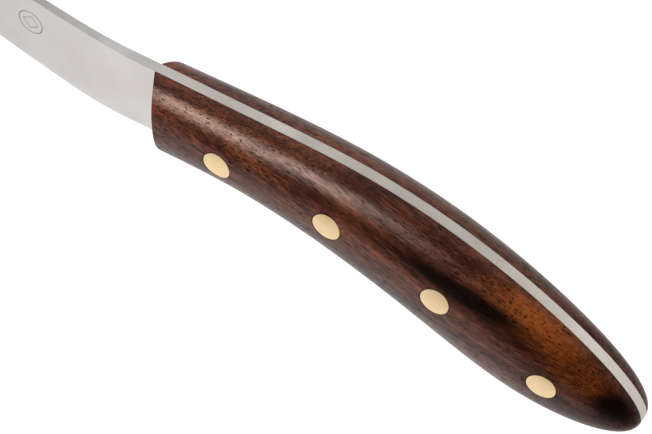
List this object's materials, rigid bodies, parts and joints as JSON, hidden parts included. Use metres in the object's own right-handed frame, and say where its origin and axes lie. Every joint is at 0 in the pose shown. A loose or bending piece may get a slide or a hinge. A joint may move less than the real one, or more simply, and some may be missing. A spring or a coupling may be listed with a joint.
{
  "type": "boning knife",
  "caption": "Boning knife: slim upswept blade on a full tang, arched hardwood handle scales held by flush brass rivets.",
  "frame": {"origin": "bottom centre of the bounding box, with the knife lying on its right side", "axes": "+X from the tip to the butt, +Y from the cutting edge to the spine, +Z out of the knife's left side"},
  "size_m": [0.253, 0.0364, 0.0182],
  "materials": {
    "steel": "satin, finely ground",
    "walnut": "oiled and rubbed to a soft gloss",
    "brass": "ground flush, satin"
  },
  "bodies": {
    "root": {"blade_and_tang": "steel", "left_scale": "walnut", "right_scale": "walnut", "rivet_1_male": "brass", "rivet_1_female": "brass", "rivet_2_male": "brass", "rivet_2_female": "brass", "rivet_3_male": "brass", "rivet_3_female": "brass", "rivet_4_male": "brass", "rivet_4_female": "brass"}
  },
  "joints": []
}
